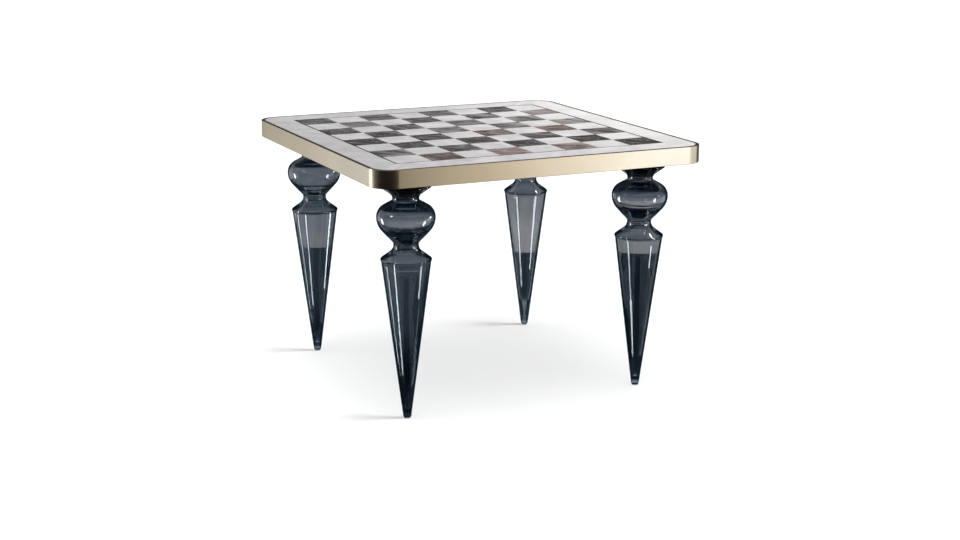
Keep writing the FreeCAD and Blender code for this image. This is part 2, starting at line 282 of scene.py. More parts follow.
def bearing(degrees):
    """A level direction: 0 is from the table to the camera, and positive turns to the right."""
    angle = math.radians(degrees)
    return lens_side * math.cos(angle) + view_right * math.sin(angle)


def seen_from(corner):
    """A leg's axis on the floor, and the level ways from it to the camera and to the right."""
    sign_x, sign_y = leg_corners[corner]
    axis = Vector((sign_x * leg_reach, sign_y * leg_reach, 0.0))
    near = Vector((camera.location.x - axis.x, camera.location.y - axis.y, 0.0)).normalized()
    return axis, near, Vector((-near.y, near.x, 0.0))


print("towards the camera:", rounded([lens_side], 3))

# %% Two suns
def sun_lamp(name, way, height, strength, width):
    """A sun from a level direction. height and width are in degrees, and strength is the light
    that it gives the floor."""
    thing = stand(name, bpy.data.lights.new(name, "SUN"))
    height = math.radians(height)
    thing.data.energy = strength * math.pi / math.sin(height)
    thing.data.angle = math.radians(width)
    rise = Vector((0.0, 0.0, math.sin(height)))
    thing.rotation_euler = (way * math.cos(height) + rise).to_track_quat("Z", "Y").to_euler()
    thing.visible_glossy = False
    return thing


soft_sun = sun_lamp("soft_sun", lens_side, height=83.0, strength=0.30, width=48.0)
low_sun = sun_lamp("low_sun", view_right, height=20.0, strength=0.46, width=28.0)
low_sun.visible_transmission = False
print("suns:", soft_sun.name, low_sun.name)

# %% [markdown]
# ## Things for glass and brass to mirror
#
# Glass and satin metal show their form by what they mirror. So lamps and screens stand round the
# table that no camera sees and that light nothing: they are there only as reflections. Strips of
# light beside the near corner turn into the bright line there. Black cloth on the camera's side,
# on the right and on the floor keeps the glass dark between its bright lines. Two panels with
# graded light make the long sides of the band run from bronze to pale gold, and a dark card behind
# the board deepens its far squares. An image of a studio could be wrapped round the scene instead,
# but lamps and screens that stand somewhere give each leg its own lines.


# %% Strips for the near corner of the band
strip_low, strip_high = 0.02, 0.44
near_corner = (-0.26, -0.26)
corner_strips = {  # bearing in degrees, distance, width, radiance
    "corner_strip": (-88.9, 1.28, 0.11, 7.0), "corner_strip_soft": (-82.5, 1.26, 0.24, 1.8),
    "corner_strip_tail": (-69.0, 0.98, 0.22, 0.40), "corner_strip_faint": (-54.0, 0.98, 0.30, 0.11),
}


def standing_strip(name, foot, facing, width, low, high, radiance):
    """A narrow upright lamp."""
    spot = Vector((foot.x, foot.y, (low + high) / 2.0))
    target = Vector((facing[0], facing[1], spot.z))
    return lamp(name, spot, target, width, high - low, radiance, only_reflected=True)


for name, (degrees, distance, width, radiance) in corner_strips.items():
    standing_strip(name, bearing(degrees) * distance, near_corner, width, strip_low, strip_high,
                   radiance)
print("strips for the corner:", len(corner_strips))

# %% Black cloth
def studio_screen(name, vertices, faces, cloth, in_glass=False):
    """A screen that casts no shadow and shows only in reflections, or also through glass."""
    screen = stand(name, mesh_of(name, vertices, faces))
    screen.data.materials.append(cloth)
    screen.visible_camera = screen.visible_diffuse = screen.visible_shadow = False
    screen.visible_transmission = in_glass
    return screen


black_felt, felt_shader = new_material("black_felt", Roughness=0.95, Specular_IOR_Level=0.0)
weave = noise(black_felt, place(black_felt), 200.0, detail=4.0)
felt = ramp(black_felt, weave, [(0.3, (0.022, 0.019, 0.016)), (0.7, (0.042, 0.036, 0.030))])
join(black_felt, felt, felt_shader, "Base Color")
print("cloth:", black_felt.name)

# %% Flags beside the table and a mat under it
flag_steps, flag_foot = 24, 2.0 * MM
mat_radius, mat_sides, mat_lift = 1.10, 64, 0.5 * MM


def flag_wall(name, bearings, low_radius, high_radius, height, in_glass=False):
    """A curved black flag that leans outwards, from one bearing to another."""
    vertices = []
    for step in range(flag_steps + 1):
        way = bearing(bearings[0] + (bearings[1] - bearings[0]) * step / flag_steps)
        vertices += [way * low_radius + UP * flag_foot, way * high_radius + UP * height]
    faces = [(low, low + 2, low + 3, low + 1) for low in range(0, 2 * flag_steps, 2)]
    studio_screen(name, vertices, faces, black_felt, in_glass)


flag_wall("black_flag_near", (-78.0, 27.5), low_radius=1.00, high_radius=1.50, height=1.00,
          in_glass=True)
flag_wall("black_flag_right", (100.0, 150.0), low_radius=0.70, high_radius=1.60, height=1.10)
mat_rim = [bearing(360.0 * side / mat_sides) * mat_radius + UP * mat_lift
           for side in range(mat_sides)]
studio_screen("black_mat", mat_rim, [tuple(range(mat_sides))], black_felt)
print("mat:", 2.0 * mat_radius, "m across")

# %% An apron in front of each foot
apron_half, apron_start, apron_end, apron_lift = 0.10, 0.01, 0.45, 1.0 * MM
for corner in leg_corners:
    foot, near, right = seen_from(corner)
    start, end = (foot + near * out + UP * apron_lift for out in (apron_start, apron_end))
    across = right * apron_half
    studio_screen("apron_" + corner, [start - across, start + across, end + across, end - across],
                  [(0, 1, 2, 3)], black_felt, in_glass=True)
print("aprons:", len(leg_corners))

# %% Pins that cast the short shadows at the feet
pin_rings = ((6.2 * MM, 2.0 * MM), (11.0 * MM, 45.0 * MM))
pin_sides = 24
pins = []


def ring_faces(rings, sides, first=0):
    """The faces between rings of points that follow each other."""
    faces = []
    for low in range(first, first + (rings - 1) * sides, sides):
        for side in range(sides):
            after = (side + 1) % sides
            faces.append((low + side, low + after, low + sides + after, low + sides + side))
    return faces


for corner in ("front_left", "back_left", "back_right"):
    foot, near, right = seen_from(corner)
    turns = [2.0 * math.pi * side / pin_sides for side in range(pin_sides)]
    vertices = [foot + Vector((math.cos(turn), math.sin(turn), 0.0)) * radius + UP * z
                for radius, z in pin_rings for turn in turns]
    pin = studio_screen("shadow_pin_" + corner, vertices, ring_faces(len(pin_rings), pin_sides),
                        black_felt)
    pin.visible_shadow, pin.visible_glossy = True, False
    pins.append(pin)
print("shadow pins:", len(pins))

# %% Graded panels for the long sides of the band
panel_strength = 3.6


def glowing_material(name, strength=1.0):
    """A black surface that gives off light, and its shader."""
    return new_material(name, Base_Color=(0.0, 0.0, 0.0, 1.0), Specular_IOR_Level=0.0,
                        Emission_Strength=strength)


def graded_panel(name, y, low, high, glow):
    """An upright panel along X, for reflections only, whose light changes along its length."""
    start, end = glow[0][0], glow[-1][0]
    paint, shader = glowing_material(name, panel_strength)
    along = add(paint, "SeparateXYZ", {0: place(paint)}).outputs["X"]
    stops = [((x - start) / (end - start), tuple(c / panel_strength for c in colour))
             for x, colour in glow]
    colour = ramp(paint, spread_over(paint, along, start, end, 0.0, 1.0), stops)
    join(paint, colour, shader, "Emission Color")
    corners = [(start, y, low), (end, y, low), (end, y, high), (start, y, high)]
    return studio_screen(name, corners, [(0, 1, 2, 3)], paint)


front_panel = graded_panel("front_panel", y=-1.50, low=0.02, high=0.95, glow=[
    (0.13, (0.48, 0.43, 0.32)), (0.33, (0.68, 0.60, 0.50)), (0.44, (0.95, 0.92, 0.79)),
    (0.55, (1.36, 1.24, 1.16)), (0.66, (1.70, 1.64, 1.58)), (0.78, (2.38, 2.36, 2.50)),
    (1.08, (2.42, 2.84, 3.50)), (1.40, (2.42, 2.84, 3.50))])
graded_panel("left_panel", y=1.20, low=0.005, high=0.70, glow=[
    (-1.20, (0.92, 1.00, 1.20)), (-0.88, (0.93, 1.02, 1.22)), (-0.76, (1.14, 1.10, 1.02)),
    (-0.69, (1.14, 1.09, 0.84)), (-0.63, (0.50, 0.50, 0.42)), (-0.58, (0.34, 0.35, 0.36)),
    (-0.30, (0.24, 0.24, 0.25))])
print("graded panels: 2")

# %% A dark card for the board to mirror
card_distance, card_half, card_low, card_high = 2.0, 2.2, 0.45, 1.7
card_paint, card_shader = glowing_material("back_card")
rise = add(card_paint, "SeparateXYZ", {0: place(card_paint)}).outputs["Z"]
card_tone = ramp(card_paint, rise, [(0.55, (0.30, 0.29, 0.29)), (0.72, (0.16, 0.15, 0.15)),
                                    (0.90, (0.07, 0.065, 0.065))])
join(card_paint, card_tone, card_shader, "Emission Color")
card_ends = [view_right * side - lens_side * card_distance for side in (-card_half, card_half)]
studio_screen("back_card", [end + UP * z for z in (card_low, card_high) for end in card_ends],
              [(0, 1, 3, 2)], card_paint)
print("card:", 2.0 * card_half, "m wide")

# %% [markdown]
# ## A blown glass leg
#
# Each leg is one hollow piece of smoke-blue glass: a flared mouth, a bulb between two narrow
# necks, a shoulder with a rounded lip, and a long tapered foot that ends solid. Such a form comes
# off a lathe or out of a mould, and a revolved outline is the right way to make it. A curve with a
# screw modifier would do it too, but a mesh made ring by ring can place extra rings beside each
# round. Those keep the long flanks truly straight, and glass shows the smallest dent in its
# reflections.


# %% The outline of a leg: its rounds
lip_radius, lip_round = 42.2 * MM, 3.0 * MM
lower_neck_radius, upper_neck_radius = 20.9 * MM, 21.9 * MM
bulb_radius, bulb_lower_round, bulb_upper_round = 48.4 * MM, 32.4 * MM, 22.4 * MM
bulb_foot_round, bulb_head_round = 6.5 * MM, 1.0 * MM
shoulder_round, flare_round = 13.6 * MM, 10.0 * MM
tip_radius, tip_round, tip_z = 6.8 * MM, 2.5 * MM, 1.5 * MM
lip_undercut_angle = 52.0
mouth_z = 396.5 * MM
glass_wall = 4.0 * MM
bore_radius = upper_neck_radius - glass_wall
solid_tip_height, cavity_end_radius = 14.0 * MM, 3.5 * MM

mouth_lip_z = mouth_z - lip_round
upper_neck_top = mouth_lip_z - 21.4 * MM
upper_neck_low = upper_neck_top - 2.0 * MM
bulb_z = upper_neck_low - 28.6 * MM
lower_neck_top = bulb_z - 45.1 * MM
lower_neck_low = lower_neck_top - 1.0 * MM
shoulder_lip_z = lower_neck_low - 24.2 * MM

rounds = {
    "shoulder_lip": ((lip_radius - lip_round, shoulder_lip_z), lip_round),
    "shoulder": ((lower_neck_radius + shoulder_round, lower_neck_low), shoulder_round),
    "bulb_foot": ((lower_neck_radius + bulb_foot_round, lower_neck_top), bulb_foot_round),
    "bulb_lower": ((bulb_radius - bulb_lower_round, bulb_z), bulb_lower_round),
    "bulb_upper": ((bulb_radius - bulb_upper_round, bulb_z), bulb_upper_round),
    "bulb_head": ((upper_neck_radius + bulb_head_round, upper_neck_low), bulb_head_round),
    "flare": ((upper_neck_radius + flare_round, upper_neck_top), flare_round),
    "mouth_lip": ((lip_radius - lip_round, mouth_lip_z), lip_round),
}
print("heights of the rounds, mm:", [round(z / MM, 1) for (x, z), radius in rounds.values()])

# %% Angles at which the straight flanks leave the rounds
def flank_angle(convex, hollow):
    """The angle, from a bulging round, at which a straight flank runs on to a hollow round."""
    (convex_x, convex_z), convex_round = rounds[convex]
    (hollow_x, hollow_z), hollow_round = rounds[hollow]
    across = math.hypot(hollow_x - convex_x, hollow_z - convex_z)
    turn = math.degrees(math.acos((convex_round + hollow_round) / across))
    heading = math.degrees(math.atan2(hollow_z - convex_z, hollow_x - convex_x))
    return heading - turn if hollow_z > convex_z else heading + turn


shoulder_flank = flank_angle("shoulder_lip", "shoulder")
bulb_foot_flank = flank_angle("bulb_lower", "bulb_foot")
bulb_head_flank = flank_angle("bulb_upper", "bulb_head")
flare_flank = flank_angle("mouth_lip", "flare")
flanks = (shoulder_flank, bulb_foot_flank, bulb_head_flank, flare_flank)
print("flanks, degrees:", rounded([flanks], 1))

# %% Points along the outline
arc_step = 4.0


def circle_points(x, z, radius, start, end, count):
    """Points on a plain arc, with its angles in degrees."""
    angles = [math.radians(start + (end - start) * i / count) for i in range(count + 1)]
    return [(x + radius * math.cos(angle), z + radius * math.sin(angle)) for angle in angles]


def arc_points(name, start, end, wall=0.0):
    """Points on a named round; wall moves them into the glass."""
    (x, z), radius = rounds[name]
    bulges = name in ("shoulder_lip", "bulb_lower", "bulb_upper", "mouth_lip")
    count = max(3, math.ceil(abs(end - start) / arc_step))
    return circle_points(x, z, radius - wall if bulges else radius + wall, start, end, count)


outside = [(0.0, tip_z)]
outside += circle_points(tip_radius - tip_round, tip_z + tip_round, tip_round, -90.0, 0.0, 12)
outside += arc_points("shoulder_lip", -lip_undercut_angle, shoulder_flank)
outside += arc_points("shoulder", shoulder_flank + 180.0, 180.0)
outside += arc_points("bulb_foot", 180.0, bulb_foot_flank + 180.0)
outside += arc_points("bulb_lower", bulb_foot_flank, 0.0)
outside += arc_points("bulb_upper", 0.0, bulb_head_flank)[1:]
outside += arc_points("bulb_head", bulb_head_flank + 180.0, 180.0)
outside += arc_points("flare", 180.0, flare_flank + 180.0)
outside += arc_points("mouth_lip", flare_flank, 90.0)

inside = [(bore_radius, mouth_z)]
inside += arc_points("bulb_head", 180.0, bulb_head_flank + 180.0, glass_wall)
inside += arc_points("bulb_upper", bulb_head_flank, 0.0, glass_wall)
inside += arc_points("bulb_lower", 0.0, bulb_foot_flank, glass_wall)[1:]
inside += arc_points("bulb_foot", bulb_foot_flank + 180.0, 180.0, glass_wall)
inside += arc_points("shoulder", 180.0, shoulder_flank + 180.0, glass_wall)
inside += arc_points("shoulder_lip", shoulder_flank, shoulder_flank, glass_wall)[:1]
cavity_end_z = tip_z + solid_tip_height + cavity_end_radius
inside += circle_points(0.0, cavity_end_z, cavity_end_radius, 0.0, -90.0, 16)
outline = outside + inside
print("outline of", len(outline), "points")

# %% Keep the long runs straight and find the sharp corners
long_run, support_gap, same_point = 2.0 * MM, 0.4 * MM, 1e-9


def with_support(points):
    """Adds a point beside each end of every long straight run, to keep its shading straight."""
    made = [points[0]]
    for start, end in zip(points, points[1:]):
        length = math.hypot(end[0] - start[0], end[1] - start[1])
        if length < same_point:
            continue
        if length > long_run:
            for share in (support_gap / length, 1.0 - support_gap / length):
                made.append(tuple(a + (b - a) * share for a, b in zip(start, end)))
        made.append(end)
    return made


def turn_between(before, here, after):
    """How far an outline turns at a point, in degrees."""
    first = math.atan2(here[1] - before[1], here[0] - before[0])
    second = math.atan2(after[1] - here[1], after[0] - here[0])
    return abs(math.degrees(math.remainder(second - first, 2.0 * math.pi)))


profile = with_support(outline)
print("outline with its support:", len(profile), "points")

# %% Revolve the outline
leg_sides, sharp_turn = 128, 25.0


def revolved(name, points, centre):
    """A closed solid of revolution from an outline that starts and ends on its axis."""
    x, y = centre
    rings = points[1:-1]
    vertices = [(x, y, points[0][1])]
    for radius, z in rings:
        for side in range(leg_sides):
            angle = 2.0 * math.pi * side / leg_sides
            vertices.append((x + radius * math.cos(angle), y + radius * math.sin(angle), z))
    vertices.append((x, y, points[-1][1]))
    last = len(vertices) - 1
    faces = ring_faces(len(rings), leg_sides, first=1)
    for side in range(leg_sides):
        after = (side + 1) % leg_sides
        faces += [(0, 1 + after, 1 + side),
                  (last - leg_sides + side, last - leg_sides + after, last)]
    mesh = mesh_of(name, vertices, faces)
    mesh.polygons.foreach_set("use_smooth", [True] * len(faces))
    sharp_rings = {ring for ring in range(len(rings))
                   if turn_between(points[ring], points[ring + 1], points[ring + 2]) > sharp_turn}
    for edge in mesh.edges:
        first, second = sorted(edge.vertices)
        ring = (first - 1) // leg_sides
        on_one_ring = first > 0 and second < last and ring == (second - 1) // leg_sides
        if on_one_ring and ring in sharp_rings:
            edge.use_edge_sharp = True
    mesh.update()
    return stand(name, mesh)


legs = {}
for corner, (sign_x, sign_y) in leg_corners.items():
    leg = revolved("smoked_leg_" + corner, profile, (sign_x * leg_reach, sign_y * leg_reach))
    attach(leg, "root")
    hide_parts("glass_leg_" + corner)
    legs[corner] = leg
print("each leg has", len(leg.data.polygons), "faces")

# %% [markdown]
# ## Smoked glass
#
# The glass is clear enough to see through, but it darkens with every millimetre of wall. A shader
# that only tints its surface would leave the rims as pale as the middle. Absorption inside the
# glass makes the rims dark by itself, because there the light runs along the wall and not through
# it. Faint streaks in the tint run up the leg, and the surface has the faint waves of hand work.


# %% Glass material
def smoked_glass():
    """Smoke-blue glass that darkens with the length of the way through it."""
    material, shader = new_material("smoked_glass", Transmission_Weight=1.0, IOR=1.48,
                                    Roughness=0.0)
    streak = noise(material, place(material, (1.0, 1.0, 0.25)), 30.0, detail=2.0)
    tint = ramp(material, streak, [(0.3, (0.72, 0.69, 0.665)), (0.7, (0.77, 0.74, 0.715))])
    join(material, tint, shader, "Base Color")
    wave = noise(material, place(material, (1.0, 1.0, 0.5)), 22.0, detail=1.0)
    join(material, bump(material, wave, strength=0.03, depth=2.0 * MM), shader, "Normal")
    smoke = add(material, "VolumeAbsorption", {"Color": (0.22, 0.38, 0.49, 1.0), "Density": 150.0})
    join(material, smoke.outputs[0], material.node_tree.nodes["Material Output"], "Volume")
    return material


leg_glass = smoked_glass()
for leg in legs.values():
    leg.data.materials.append(leg_glass)
print("glass on", len(legs), "legs")

# %% [markdown]
# ## Lit film behind the glass
#
# Clear glass on a white ground loses its edges. A studio stands film behind each piece: dark film
# just outside the outline, which the thick edge of the glass bends into view as a dark line, and
# paler film in the middle, where one looks straight through. Here each sheet glows by itself in a
# few tones of smoke blue, so no lamp has to reach it, and each leg has its own cuts from one tone
# to the next. The dark and pale bands that each leg shows are painted light and shade on its film.
# Painting dark and pale into the glass would be simpler, but then they would stay in the glass
# when the leg is seen from another side.


# %% Tones between the cuts of a sheet
def outline_radius(z):
    """The widest radius of a leg at a height."""
    found = [r0 + (r1 - r0) * (z - z0) / (z1 - z0)
             for (r0, z0), (r1, z1) in zip(outside, outside[1:])
             if z0 != z1 and min(z0, z1) <= z <= max(z0, z1)]
    return max(found, default=0.0)


def cut_list(text):
    """Reads cuts written as "height tone, height tone" from the tip up, in millimetres."""
    return [(float(height), tone) for height, tone in (cut.split() for cut in text.split(", "))]


def film_between(cuts, z):
    """The film's tone at a height."""
    for (z0, tone0), (z1, tone1) in zip(cuts, cuts[1:]):
        if z0 <= z <= z1:
            share = (z - z0) / (z1 - z0)
            return tuple(a + (b - a) * share for a, b in zip(film_tones[tone0], film_tones[tone1]))
    return film_tones[cuts[-1][1]]


film_tones = {
    "black": (0.002, 0.009, 0.020), "edge": (0.014, 0.036, 0.058), "ink": (0.018, 0.038, 0.060),
    "dusk": (0.080, 0.11, 0.145), "teal": (0.12, 0.20, 0.25), "slate": (0.20, 0.24, 0.30),
    "smoke": (0.35, 0.39, 0.46), "ash": (0.50, 0.53, 0.58), "pearl": (0.66, 0.67, 0.71),
    "pale": (0.88, 0.86, 0.89), "white": (1.10, 1.02, 1.05), "glow": (2.4, 2.1, 1.9),
}
side_cuts = cut_list("0 dusk, 12 dusk, 20 edge, 294 edge, 299 black, 326 black, 338 edge")
print("film tones:", len(film_tones))

# %% One sheet of film
film, film_shader = glowing_material("lit_film")
tint = add(film, "Attribute", attribute_name="film").outputs["Color"]
grain = maths(film, "MULTIPLY", noise(film, place(film), 120.0, detail=2.0), 0.06)
join(film, blend_colours(film, grain, tint, (0.04, 0.05, 0.06)), film_shader, "Emission Color")
sheet_distance, sheet_reach, sheet_step, sheet_top, sheet_lift = 0.075, 0.115, 4, 392, 0.8 * MM
window_share, window_push = 1.30, 0.008


def sheet_behind(corner, cuts):
    """A sheet of film behind one leg, with cuts down its middle and dark sides. The heights of
    the cuts are those of the leg's axis that they line up with for the camera."""
    axis, near, right = seen_from(corner)
    distance = (camera.location.xy - axis.xy).length
    heights = sorted(set(range(0, sheet_top + 1, sheet_step)) | {height for height, tone in cuts})
    vertices, faces, tones = [], [], []
    for low, high in zip(heights, heights[1:]):
        for left_edge, right_edge, strip_cuts in ((-1.0, -0.5, side_cuts), (-0.5, 0.5, cuts),
                                                  (0.5, 1.0, side_cuts)):
            start = len(vertices)
            for height in (low, high):
                z = height * MM
                window = window_share * outline_radius(z) + window_push
                drop = sheet_distance * (camera.location.z - z) / distance
                behind = sheet_distance if z > drop else sheet_distance * z / drop
                for edge in (left_edge, right_edge):
                    reach = math.copysign(window if abs(edge) == 0.5 else sheet_reach, edge)
                    point = axis - near * behind + right * reach
                    vertices.append((point.x, point.y, max(z - drop, sheet_lift)))
                    tones.append(film_between(strip_cuts, height))
            faces.append((start, start + 1, start + 3, start + 2))
    sheet = studio_screen("film_" + corner, vertices, faces, film, in_glass=True)
    layer = sheet.data.color_attributes.new("film", "FLOAT_COLOR", "POINT")
    layer.data.foreach_set("color", [c for tone in tones for c in (*tone, 1.0)])


print("film reaches", sheet_reach, "m to each side")

# %% Where each leg's film changes its tone
# Painted light and shade: each cut sets a band of tone that the leg shows through its glass.
film_cuts = {
    "front_left": (
        "0 slate, 12 dusk, 20 black, 90 black, 115 ink, 150 dusk, 249 dusk, 249.4 smoke, "
        "251 smoke, 251.4 dusk, 260 dusk, 260.4 ash, 274 smoke, 283 slate, 288 ink, 292.8 ink, "
        "293.2 ash, 296.2 ash, 296.6 black, 304.5 black, 306 ink, 314 dusk, 318.4 dusk, "
        "318.8 pearl, 325 pale, 333 pearl, 341 smoke, 352 smoke, 357 ink, 368 black, 392 black"),
    "front_right": (
        "0 pale, 12 white, 20 ink, 237.2 ink, 237.6 pearl, 258 pearl, 264 smoke, 274 ash, "
        "283 slate, 287 slate, 288.4 dusk, 291.6 dusk, 292 smoke, 300.4 smoke, 300.8 black, "
        "312.4 black, 312.8 white, 315.6 white, 316.4 dusk, 317.4 ink, 319.6 ink, 320 white, "
        "325 white, 330 pearl, 335 ash, 340 smoke, 348 slate, 354 ink, 360 black, 392 black"),
    "back_left": (
        "0 glow, 12 pearl, 20 teal, 30 dusk, 42 ink, 48 ink, 100 dusk, 197.4 dusk, "
        "197.8 pearl, 218 pearl, 235 ash, 262 ash, 268 smoke, 276 slate, 284 teal, 295 teal, "
        "298 dusk, 298.6 black, 307 black, 307.4 smoke, 310 ash, 350 ash, 355 smoke, 358 ink, "
        "392 ink"),
    "back_right": (
        "0 glow, 10 white, 20 ash, 44 pale, 52 slate, 60 dusk, 145.8 dusk, 146.4 white, "
        "196 white, 212 pale, 230 pearl, 252 pearl, 264 smoke, 276 ash, 284 smoke, 392 smoke"),
}
for corner, cuts in film_cuts.items():
    sheet_behind(corner, cut_list(cuts))
print("sheets behind", len(film_cuts), "legs")

# %% [markdown]
# ## Lines and sparks on the glass
#
# A mirror-smooth round thing shows a lamp where its surface lies halfway between the lamp and the
# camera. The cones get thin upright lamps, close by, that draw long lines. For the sparks on the
# bulbs and shoulders the same law is turned round: from the spot on the glass it gives the way to
# the lamp. Where such a lamp would also show on the bulb above, its beam is narrowed, as a grid in
# front of a lamp does. Large lamps far off would draw the same lines on every leg, but each leg
# stands at its own angle to the camera.


# %% Thin lamps beside the cones
wand_beam, wand_gain = 84.0, 0.48
cool_light = (0.82, 0.93, 1.0)


def wand(corner, degrees, width, low, high, radiance, distance=0.13):
    """A thin upright lamp close to a leg. 0 degrees points from the leg to the camera."""
    axis, near, right = seen_from(corner)
    angle = math.radians(degrees)
    foot = axis + (near * math.cos(angle) + right * math.sin(angle)) * distance
    name = "leg_lamp_" + corner + "_" + str(int(degrees)).replace("-", "m")
    thing = standing_strip(name, foot, axis.xy, width, low, high, radiance)
    thing.visible_transmission = False
    thing.data.color = cool_light
    thing.data.spread = math.radians(wand_beam)
    thing.data.energy *= wand_gain


wands = {  # bearing from the leg in degrees, width, lowest and highest point, radiance, distance
    "front_left": [(-50.0, 0.010, 0.10, 0.222, 28.0), (-50.0, 0.018, 0.01, 0.100, 18.0),
                   (-92.0, 0.006, 0.01, 0.222, 18.0), (66.0, 0.014, 0.16, 0.222, 14.0),
                   (72.0, 0.005, 0.02, 0.150, 3.0)],
    "front_right": [(-44.0, 0.011, 0.12, 0.235, 13.0, 0.10),
                    (-44.0, 0.026, 0.004, 0.120, 15.0, 0.10), (60.0, 0.012, 0.17, 0.215, 14.0)],
    "back_left": [(-44.0, 0.014, 0.12, 0.228, 14.0), (-44.0, 0.022, 0.03, 0.120, 12.0),
                  (-90.0, 0.010, 0.03, 0.228, 9.0), (78.0, 0.020, 0.07, 0.228, 15.0)],
    "back_right": [(-44.0, 0.018, 0.10, 0.225, 12.0), (-44.0, 0.026, 0.02, 0.100, 12.0),
                   (50.0, 0.024, 0.06, 0.225, 13.0)],
}
for corner, places in wands.items():
    for settings in places:
        wand(corner, *settings)
print("thin lamps:", sum(len(places) for places in wands.values()))

# %% Lamps for the sparks
large_spark, small_spark = (0.030, 0.062), (0.018, 0.028)
shoulder_spark, lip_spark = (0.050, 0.009), (0.050, 0.040)
spark_radiance, spark_distance = 12.0, 0.12
beam_angle, beam_loss = 50.0, 6.0
lip_index = max((index for index, (radius, z) in enumerate(outside) if z < lower_neck_low),
                key=lambda index: outside[index][0])


def spark(corner, across, z, size):
    """A lamp that the glass mirrors at one spot. across is a share of the radius there, to the
    view's right, z is the height of the spot, and size is the lamp's width and height."""
    axis, near, right = seen_from(corner)
    above_lip = outside[lip_index:]
    (r0, z0), (r1, z1) = next((a, b) for a, b in zip(above_lip, above_lip[1:]) if a[1] <= z <= b[1])
    radius = r0 + (r1 - r0) * (z - z0) / (z1 - z0)
    outward = near * math.sqrt(1.0 - across * across) + right * across
    spot = axis + outward * radius + UP * z
    normal = (outward * (z1 - z0) - UP * (r1 - r0)).normalized()
    sight = (spot - camera.location).normalized()
    way = sight - normal * 2.0 * sight.dot(normal)
    name = "leg_lamp_" + corner + "_spark_" + str(int(across * 100)).replace("-", "m")
    thing = lamp(name, spot + way * spark_distance, spot, *size, spark_radiance,
                 only_reflected=True)
    thing.data.shape = "ELLIPSE"
    thing.visible_transmission = False
    if size in (shoulder_spark, lip_spark):
        thing.data.spread = math.radians(beam_angle)
        thing.data.energy /= beam_loss


sparks = {  # place across, height in millimetres, size
    "front_left": [(-0.79, 341.5, large_spark), (-0.50, 351.0, small_spark),
                   (0.61, 339.2, large_spark), (0.83, 346.5, small_spark)],
    "front_right": [(-0.72, 340.8, large_spark), (-0.52, 350.2, small_spark),
                    (0.53, 340.2, large_spark), (0.68, 348.5, small_spark),
                    (0.58, 280.0, shoulder_spark), (0.66, 272.3, lip_spark)],
    "back_left": [(-0.72, 340.2, large_spark), (-0.40, 349.5, small_spark),
                  (0.50, 341.5, large_spark), (0.75, 346.8, small_spark)],
    "back_right": [(0.54, 281.0, shoulder_spark), (0.60, 272.3, lip_spark)],
}
for corner, places in sparks.items():
    for across, height, size in places:
        spark(corner, across, height * MM, size)
print("sparks:", sum(len(places) for places in sparks.values()))

# %% [markdown]
# ## The edge band
#
# One flat bar of brass, six millimetres thick, is bent round the top and brushed to a satin shine.
# A sweep of its section round a square with soft corners makes it in one go. Each corner takes
# many thin strips, because a satin bar draws its reflections into upright lines there, and coarse
# strips would show as facets.


# %% Sweep the band
band_half = 300.0 * MM
band_corner_radius = 38.0 * MM
band_thickness = 6.0 * MM
band_bottom, table_height = 405.0 * MM, 435.0 * MM
band_round, band_inner_arris = 0.8 * MM, 0.25 * MM
round_steps, corner_steps = 5, 28


def band_section():
    """The bar's section as (distance in from the outer face, height), round by round."""
    section = []
    for z, first in ((band_bottom + band_round, 270.0), (table_height - band_round, 180.0)):
        section += circle_points(band_round, z, band_round, first, first - 90.0, round_steps)
    section += [(band_thickness - band_inner_arris, table_height),
                (band_thickness, table_height - band_inner_arris),
                (band_thickness, band_bottom + band_inner_arris),
                (band_thickness - band_inner_arris, band_bottom)]
    return section


def swept_band(name, section):
    """Carries the section round the square with soft corners."""
    reach = band_half - band_corner_radius
    vertices = []
    for index, (sign_x, sign_y) in enumerate(((1, 1), (-1, 1), (-1, -1), (1, -1))):
        for step in range(corner_steps + 1):
            angle = math.radians(90.0 * (index + step / corner_steps))
            for depth, z in section:
                radius = band_corner_radius - depth
                vertices.append((sign_x * reach + radius * math.cos(angle),
                                 sign_y * reach + radius * math.sin(angle), z))
    sides, count = len(section), len(vertices)
    faces = []
    for here in range(0, count, sides):
        there = (here + sides) % count
        for point in range(sides):
            after = (point + 1) % sides
            faces.append((here + point, there + point, there + after, here + after))
    mesh = mesh_of(name, vertices, faces)
    mesh.polygons.foreach_set("use_smooth", [True] * len(faces))
    mesh.update()
    thing = stand(name, mesh)
    thing.modifiers.new("even_shading", "WEIGHTED_NORMAL").keep_sharp = True
    return thing


band = swept_band("champagne_edge_band", band_section())
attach(band, "root")
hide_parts("edge_band")
print("band of", len(band.data.polygons), "faces")

# %% [markdown]
# ## Satin brass
#
# Brushing leaves fine lines along the bar. Lines that depend only on the height run level round
# every side and corner, as a brushing wheel leaves them. They shift the roughness and the colour a
# little. The narrow top face is darkened with painted shade, which stands in for the dark line
# along the top of the band.


# %% Brass material
def dress(material, shader, colour, polish, relief):
    """Joins a finish to its shader: the colour, the polish as a value and the roughness that
    its range becomes, and the relief as a height map with its strength and depth."""
    join(material, colour, shader, "Base Color")
    join(material, spread_over(material, *polish), shader, "Roughness")
    join(material, bump(material, *relief), shader, "Normal")


